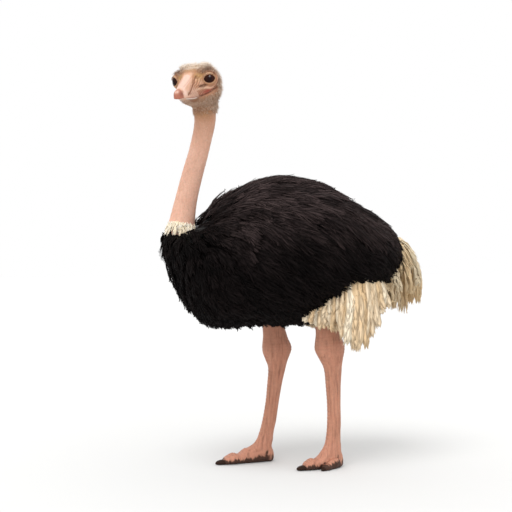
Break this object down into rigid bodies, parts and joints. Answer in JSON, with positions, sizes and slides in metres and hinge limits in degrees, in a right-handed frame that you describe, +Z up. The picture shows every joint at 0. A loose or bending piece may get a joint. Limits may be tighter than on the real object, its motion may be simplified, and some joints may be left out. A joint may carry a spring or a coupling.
{
  "type": "ostrich",
  "caption": "Life-size standing adult male ostrich: black plumage, white wing and tail plumes, bare pink neck and legs, head turned to its left.",
  "frame": {"origin": "on the floor, at the middle of the whole bird's box", "axes": "-X the way the body faces, -Y the bird's left, +Z up"},
  "size_m": [1.2808, 0.6682, 1.8334],
  "materials": {
    "black_plumage": "soft loose-barbed black feathers with a faint brown sheen",
    "white_plumage": "soft loose-barbed cream white feathers",
    "tail_plumage": "soft cream to tan feathers, dusty towards the tips",
    "bare_skin": "matt pink-tan skin with fine creases and sparse down",
    "bill_horn": "satin pinkish horn, redder at the tip",
    "claw_horn": "satin dark brown horn",
    "eye": "polished dark brown"
  },
  "bodies": {
    "root": {"torso": "black_plumage", "left_wing": "black_plumage", "left_primaries": "white_plumage", "right_wing": "black_plumage", "right_primaries": "white_plumage", "tail": "tail_plumage", "collar": "white_plumage", "neck_lower": "bare_skin", "neck_upper": "bare_skin", "head": "bare_skin", "upper_bill": "bill_horn", "lower_bill": "bill_horn", "left_eye": "eye", "left_thigh": "bare_skin", "left_shank": "bare_skin", "left_inner_toe": "bare_skin", "left_outer_toe": "bare_skin", "left_inner_claw": "claw_horn", "left_outer_claw": "claw_horn", "right_eye": "eye", "right_thigh": "bare_skin", "right_shank": "bare_skin", "right_inner_toe": "bare_skin", "right_outer_toe": "bare_skin", "right_inner_claw": "claw_horn", "right_outer_claw": "claw_horn"}
  },
  "joints": []
}
